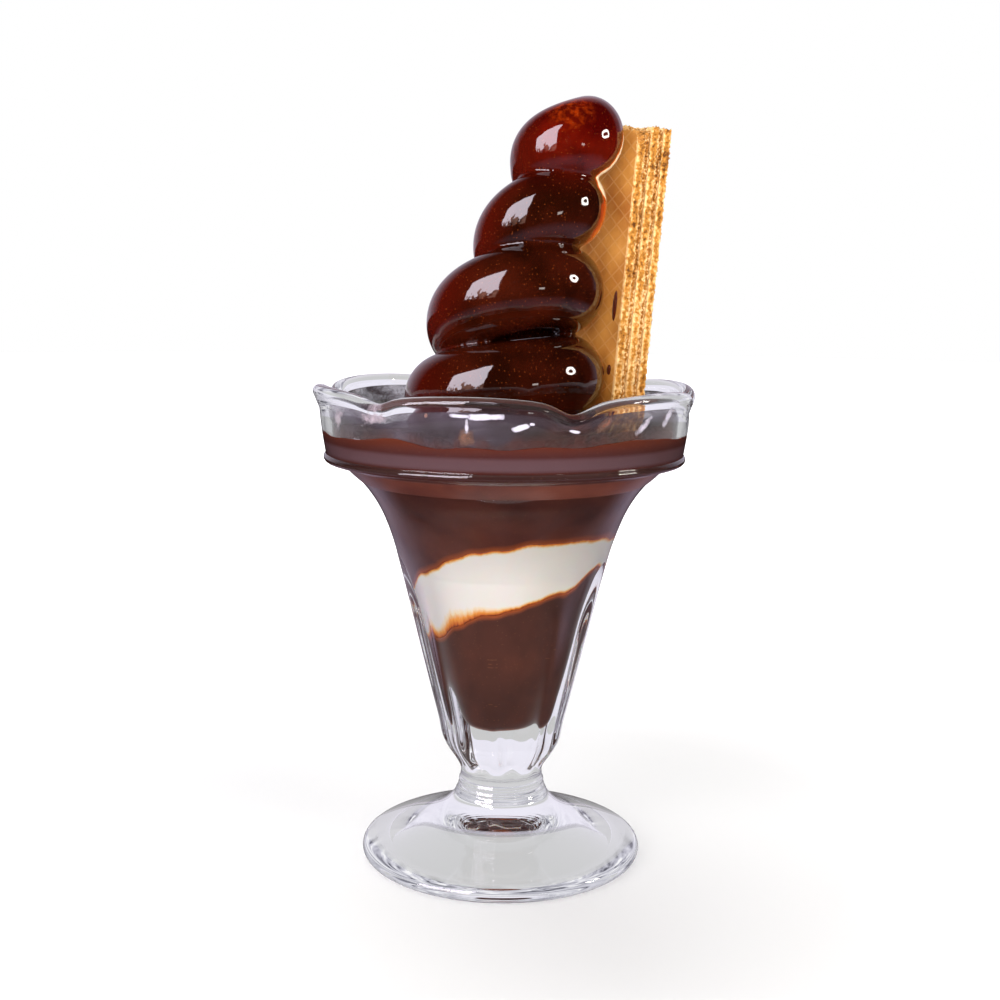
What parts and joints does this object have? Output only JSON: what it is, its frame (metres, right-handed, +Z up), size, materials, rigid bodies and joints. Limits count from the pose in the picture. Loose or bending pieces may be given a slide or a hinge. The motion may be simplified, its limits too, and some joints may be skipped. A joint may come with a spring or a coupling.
{
  "type": "ice cream sundae",
  "caption": "Footed fluted glass with a scalloped rim, filled with chocolate sauce round a slanting vanilla band, topped by a glazed leaning soft-serve swirl and a filled wafer.",
  "frame": {"origin": "middle of the foot, on the surface it stands on", "axes": "+Z up along the glass's axis; -Y to the front; the swirl leans towards +X, where the wafer stands"},
  "size_m": [0.111, 0.1114, 0.2227],
  "materials": {
    "glass": "clear pressed glass, polished",
    "chocolate_sauce": "thick, wet and glossy",
    "vanilla_ice_cream": "soft and smooth",
    "chocolate_glaze": "thin chocolate glaze, mirror-bright",
    "wafer_sheet": "dry baked crumb with a raised grid",
    "wafer_cream": "dry and porous"
  },
  "bodies": {
    "root": {"glass": "glass", "chocolate_sauce_lower": "chocolate_sauce", "vanilla_ice_cream_band": "vanilla_ice_cream", "chocolate_sauce_upper": "chocolate_sauce", "glazed_swirl": "chocolate_glaze", "wafer_sheet_1": "wafer_sheet", "wafer_cream_1": "wafer_cream", "wafer_sheet_2": "wafer_sheet", "wafer_cream_2": "wafer_cream", "wafer_sheet_3": "wafer_sheet"}
  },
  "joints": []
}
